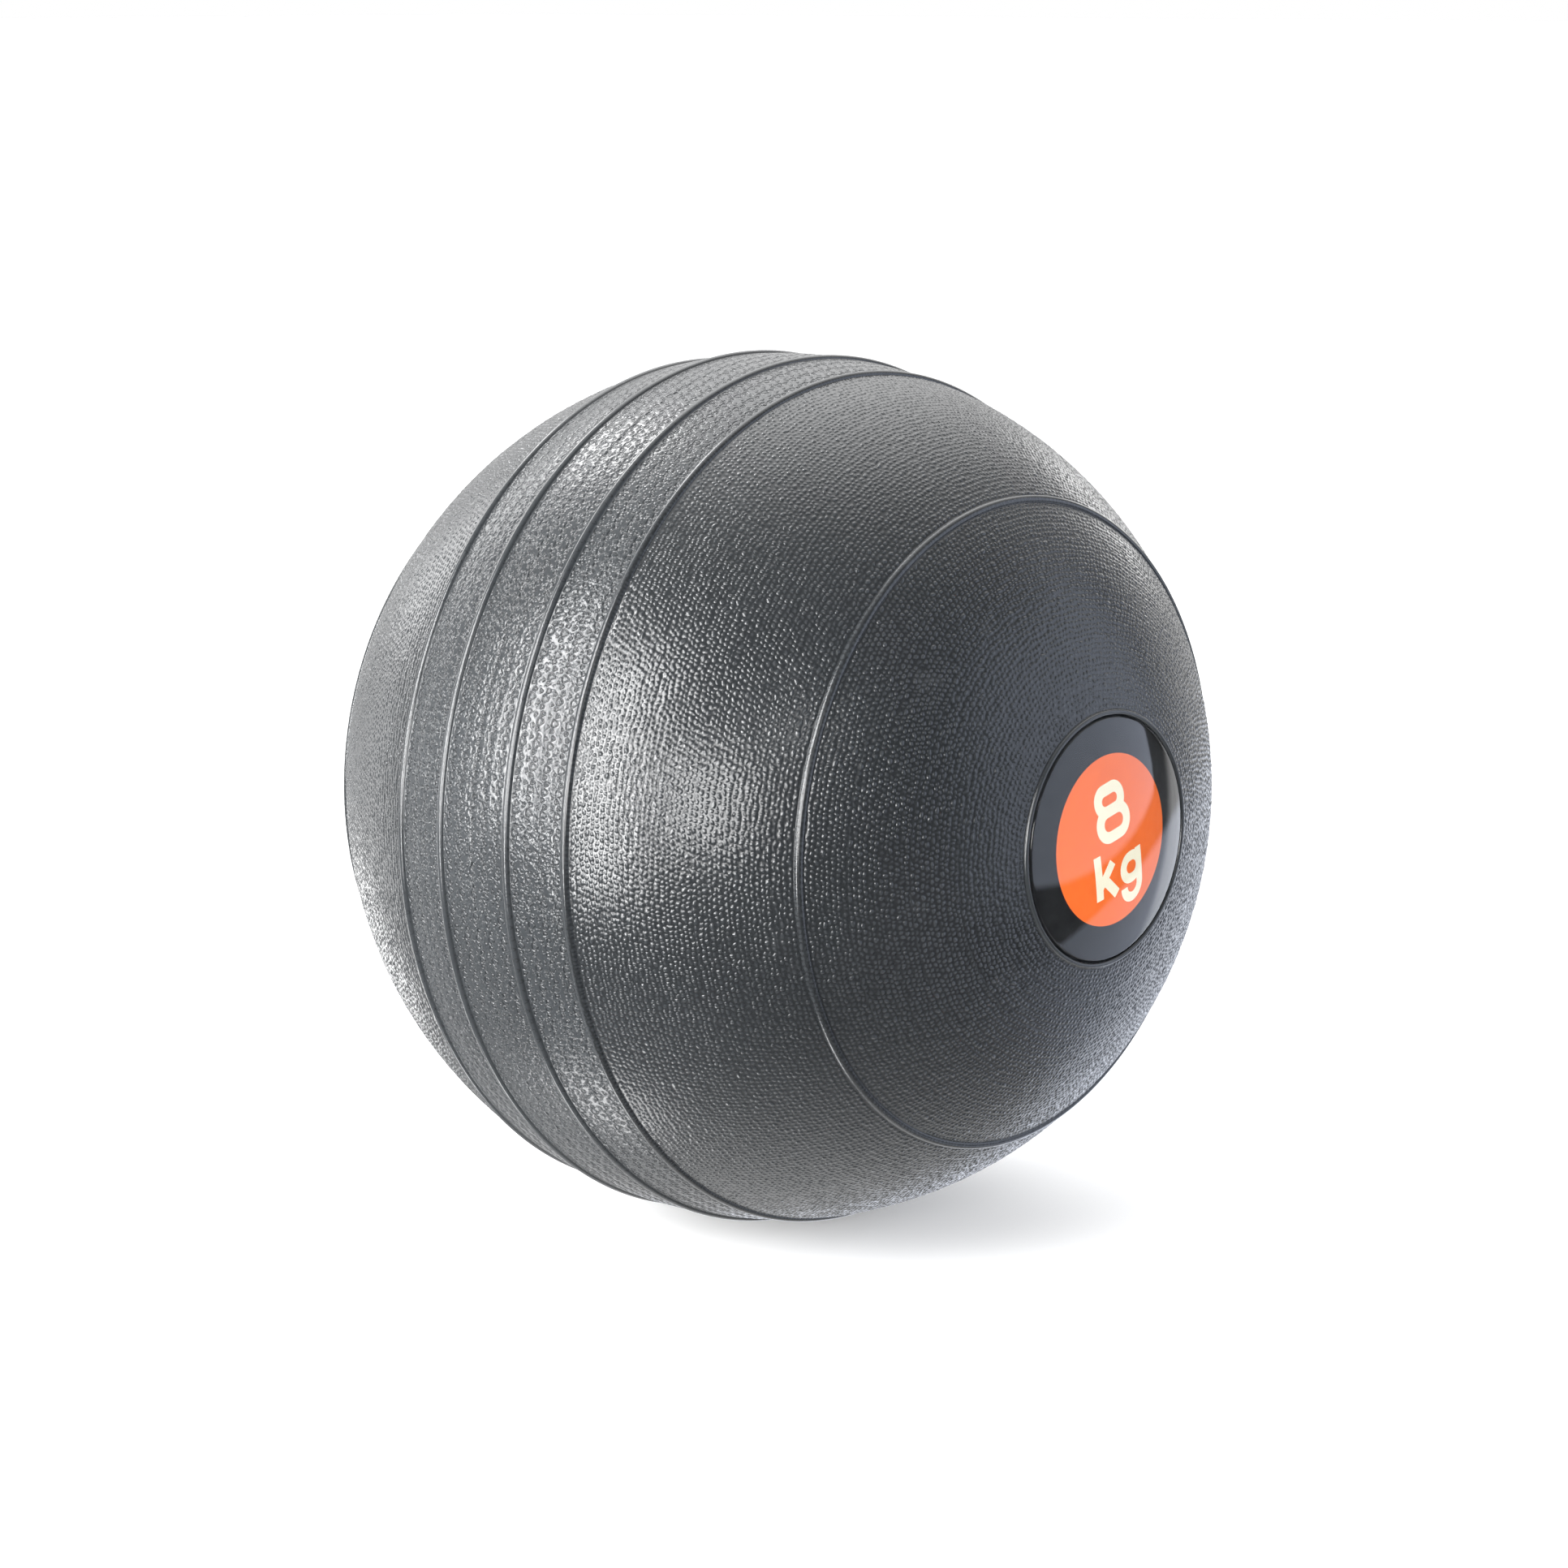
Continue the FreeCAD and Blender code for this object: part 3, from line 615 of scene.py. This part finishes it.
def badge_material():
    m = Shader("badge_black")
    colour = m.blend(m.spread(m.noise(260.0, 5.0), 0.35, 0.7), grey(0.010, 0.1), grey(0.016, 0.1))
    rough = m.spread(m.noise(700.0), 0.3, 0.7, 0.5, 0.6)
    m.set(Base_Color=colour, Roughness=rough, Specular_IOR_Level=INK_GLOSS)
    m.bump(m.noise(2400.0, 2.0), 0.1, 0.00002)
    return m.material


def foam_material():
    m = Shader("adhesive_foam")
    pores = m.spread(m.cells(2600.0).outputs["Distance"], 0.05, 0.5)
    m.set(Base_Color=m.blend(pores, grey(0.42, -0.06), grey(0.66, -0.04)), Roughness=0.9)
    m.bump(pores, 0.6, 0.0001)
    return m.material


def sand_material():
    m = Shader("iron_sand")
    grains = m.cells(1400.0)
    tone = m.blend(grains.outputs["Color"], (0.014, 0.012, 0.011, 1.0), (0.06, 0.055, 0.05, 1.0))
    tone = m.blend(m.spread(m.noise(40.0), 0.4, 0.7, 0.0, 0.5), tone, (0.035, 0.02, 0.012, 1.0))
    m.set(Base_Color=tone, Roughness=m.spread(m.noise(1800.0), 0.3, 0.7, 0.4, 0.8))
    m.bump(grains.outputs["Distance"], 0.8, 0.0003)
    return m.material


def plug_material():
    m = Shader("plug_rubber")
    tone = m.blend(m.spread(m.noise(350.0, 4.0), 0.3, 0.7), grey(0.016), grey(0.026))
    m.set(Base_Color=tone, Roughness=m.spread(m.noise(500.0), 0.3, 0.7, 0.55, 0.7))
    m.bump(m.noise(1900.0, 3.0), 0.3, 0.00008)
    return m.material


def floor_material():
    m = Shader("studio_floor")
    tone = m.blend(m.spread(m.noise(1.5), 0.3, 0.7), grey(0.86), grey(0.88))
    m.set(Base_Color=tone, Roughness=0.8, Emission_Color=(1.0, 1.0, 1.0, 1.0), Emission_Strength=0.3)
    return m.material


# ---------------------------------------------------------------------------------------------- pieces
def finish_piece(obj, material, node):
    obj.data.materials.append(material)
    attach(obj, "ball")
    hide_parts(node)


finish_piece(make_shell(), shell_material(), "shell")
resin = resin_material()
for end, side in (("front", -1), ("back", 1)):
    finish_piece(make_dome(end + "_dome_resin", side), resin, end + "_dome")

orange = print_material("print_orange", (0.76, 0.145, 0.024, 1.0), (0.71, 0.125, 0.02, 1.0))
cream = print_material("print_cream", (0.76, 0.72, 0.56, 1.0), (0.72, 0.68, 0.51, 1.0))
black = badge_material()
foam = foam_material()
material_of = {
    "fill_plug": plug_material(),
    "sand_fill": sand_material(),
    "front_badge_pad": foam, "back_badge_pad": foam,
    "front_badge_disc": black, "back_badge_disc": black,
    "front_orange_print": orange, "back_orange_print": orange,
    "front_numeral": cream, "front_unit_letters": cream,
}
for name, material in material_of.items():
    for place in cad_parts[name].material_slots:
        place.material = material

# -------------------------------------------------------------------------------------- camera, studio
AZIMUTH, ELEVATION, DISTANCE = math.radians(48.5), math.radians(10.57), 1.15
BACK = Vector((
    -math.sin(AZIMUTH) * math.cos(ELEVATION), -math.cos(AZIMUTH) * math.cos(ELEVATION), math.sin(ELEVATION)
))
RIGHT = (-BACK).cross(Vector((0, 0, 1))).normalized()
UP = RIGHT.cross(-BACK)


def studio(right, up, back):
    """A direction given by its parts to the right, up and towards the main viewpoint."""
    return (RIGHT * right + UP * up + BACK * back).normalized()


lens = bpy.data.cameras.new("camera")
lens.lens, lens.sensor_width = 99.0, 36.0
lens.shift_x, lens.shift_y = 0.0028, 0.0013
lens.clip_start, lens.clip_end = 0.05, 200.0
camera = show("camera", lens)
camera.location = BACK * DISTANCE
camera.rotation_euler = (-BACK).to_track_quat("-Z", "Y").to_euler()
bpy.context.scene.camera = camera


def softbox(name, direction, distance, width, height, power):
    """A rectangular lamp in metres and watts, which faces the ball."""
    light = bpy.data.lights.new(name, "AREA")
    light.shape, light.size, light.size_y = "RECTANGLE", width, height
    light.energy = power
    obj = show(name, light)
    obj.location = direction * distance
    obj.rotation_euler = direction.to_track_quat("Z", "Y").to_euler()


softbox("tall_softbox", studio(-0.88, 0.30, 0.36), 1.6, 0.25, 1.5, 38.0)
softbox("near_softbox", studio(-0.30, -0.07, 0.95), 2.2, 0.8, 0.8, 32.0)
softbox("strip_softbox", studio(-0.70, 0.05, 0.70), 2.0, 0.4, 2.2, 85.0)
softbox("front_softbox", studio(0.10, 0.25, 0.95), 2.2, 0.4, 0.4, 3.0)
softbox("rim_softbox", studio(-0.40, 0.80, -0.40), 2.0, 0.5, 0.5, 10.0)
softbox("left_softbox", studio(-0.80, 0.05, -0.60), 2.0, 0.4, 1.2, 3.0)
softbox("high_left_softbox", studio(-0.65, 0.50, -0.55), 2.0, 0.6, 1.0, 8.0)
softbox("under_softbox", studio(-0.45, -0.80, -0.25), 2.0, 0.6, 0.6, 10.0)
softbox("back_right_softbox", studio(0.45, 0.40, -0.80), 2.0, 0.5, 0.5, 2.0)
softbox("back_left_softbox", studio(-0.50, -0.20, -0.85), 2.0, 0.5, 0.5, 3.0)

# Soft glows round the far side of the ball: how bright each one is, and how narrow.
GLOW_ABOVE = 3.2
GLOW_BELOW = 1.0
GLOW_BESIDE = 0.7
GLOW_BEHIND = 0.7
WIDE_GLOW, NARROW_GLOW = 6.0, 10.0
GLOW_SET_BACK = 0.33  # how far behind the ball's sides the wide ones are
LEAST_GLOW = 0.03  # the same in every direction

# What the badge mirrors, to the right: a window over a dark wall over a pale table, in a room turned a
# little from the ball. An edge leans: it rises towards an angle round Z in degrees, by a slope, from a
# height.
ROOM_TURN = math.radians(20.0)
SILL = (105.0, 0.71, 0.33)
TABLE_EDGE = (10.0, 0.68, -0.81)
WALL_SHADE = 0.9  # the share of the glow that the dark wall takes away
WINDOW_RADIANCE = 1.6
TABLE_RADIANCE = 1.15
DAYLIGHT = (0.85, 0.94, 1.15)


def glows():
    """(direction, sharpness, radiance) of each soft glow."""
    yield studio(0, 0, -1), WIDE_GLOW, GLOW_BEHIND
    sides = ((-1, 0, GLOW_BESIDE), (1, 0, GLOW_BESIDE), (0, 1, GLOW_ABOVE), (0, -1, GLOW_BELOW))
    for right, up, radiance in sides:
        yield studio(right, up, -GLOW_SET_BACK), WIDE_GLOW, radiance
        yield studio(right, up, -1), NARROW_GLOW, GLOW_BEHIND


def room(n, direction):
    """Where the window, the table and the dark wall are: a share from 0 to 1 of each, by direction."""

    def facing(towards):
        return n.on_vectors("DOT_PRODUCT", direction, towards)

    def over(edge):
        towards, slope, height = edge
        lean = (slope * math.cos(math.radians(towards)), slope * math.sin(math.radians(towards)), 0.0)
        return n.maths("SUBTRACT", rise, n.maths("ADD", facing(lean), height))

    def inside(*edges):
        """1 where every (value, start, end) has passed its end, with a soft edge from its start."""
        share = 1.0
        for value, start, end in edges:
            share = n.maths("MULTIPLY", share, n.spread(value, start, end, kind="SMOOTHSTEP"))
        return share

    rise = facing((0.0, 0.0, 1.0))
    from_corner = facing((-math.sin(ROOM_TURN), -math.cos(ROOM_TURN), 0.0))
    from_back = facing((math.cos(ROOM_TURN), -math.sin(ROOM_TURN), 0.0))
    window = inside(
        (over(SILL), -0.02, 0.03), (from_corner, -0.01, 0.02), (from_back, 0.40, 0.55), (rise, 0.62, 0.45)
    )
    table = inside((over(TABLE_EDGE), 0.02, -0.02), (from_back, 0.3, 0.5), (rise, -0.72, -0.6))
    wall = inside((from_corner, -0.22, -0.12), (from_back, 0.1, 0.35), (rise, -0.75, -0.6), (rise, 0.6, 0.4))
    return window, table, wall


def make_world():
    """Soft glows and a room that the ball mirrors. The viewer sees plain white in their place."""
    world = bpy.data.worlds.new("studio")
    bpy.context.scene.world = world
    world.use_nodes = True
    world.node_tree.nodes.clear()
    n = Nodes(world.node_tree)
    direction = n.add("TexCoord").outputs["Generated"]
    window, table, wall = room(n, direction)
    total = LEAST_GLOW
    for towards, sharpness, radiance in glows():
        off = n.maths("SUBTRACT", n.on_vectors("DOT_PRODUCT", direction, tuple(towards)), 1.0)
        lobe = n.maths("EXPONENT", n.maths("MULTIPLY", off, sharpness))
        total = n.maths("ADD", total, n.maths("MULTIPLY", lobe, radiance))
    total = n.maths("MULTIPLY", total, n.maths("SUBTRACT", 1.0, n.maths("MULTIPLY", wall, WALL_SHADE)))
    from_window = n.maths("MULTIPLY", window, WINDOW_RADIANCE)
    from_table = n.maths("MULTIPLY", table, TABLE_RADIANCE)
    cool = {"Vector": DAYLIGHT, "Scale": n.maths("ADD", from_window, from_table)}
    daylight = n.add("VectorMath", cool, operation="SCALE").outputs["Vector"]
    total = n.on_vectors("ADD", total, daylight, "Vector")
    lit = n.add("Background", {"Color": total, "Strength": 1.0}).outputs[0]
    seen = n.add("Background", {"Color": (1.0, 1.0, 1.0, 1.0), "Strength": 1.0}).outputs[0]
    by_path = {0: n.add("LightPath").outputs["Is Camera Ray"], 1: lit, 2: seen}
    n.add("OutputWorld", {"Surface": n.add("MixShader", by_path).outputs[0]})


FLOOR_HALF = 30.0  # metres
FLOOR_CELLS = 24
FLOOR_CLEAR = 0.0001  # from the ball's lowest point down to the floor


def make_floor():
    line = np.linspace(-FLOOR_HALF, FLOOR_HALF, FLOOR_CELLS + 1)
    x, y = np.meshgrid(line, line, indexing="ij")
    level = cad_box[0].z - FLOOR_CLEAR
    points = np.stack([x.ravel(), y.ravel(), np.full(x.size, level)], 1)
    across = FLOOR_CELLS + 1
    corner = (np.arange(FLOOR_CELLS)[:, None] * across + np.arange(FLOOR_CELLS)).ravel()
    faces = np.stack([corner, corner + across, corner + across + 1, corner + 1], 1)
    mesh = bpy.data.meshes.new("floor")
    mesh.from_pydata(points.tolist(), [], faces.tolist())
    mesh.update()
    obj = show("floor", mesh)
    obj.data.materials.append(floor_material())
    obj.visible_glossy = False


make_world()
make_floor()
bpy.context.scene.view_settings.view_transform = "Standard"
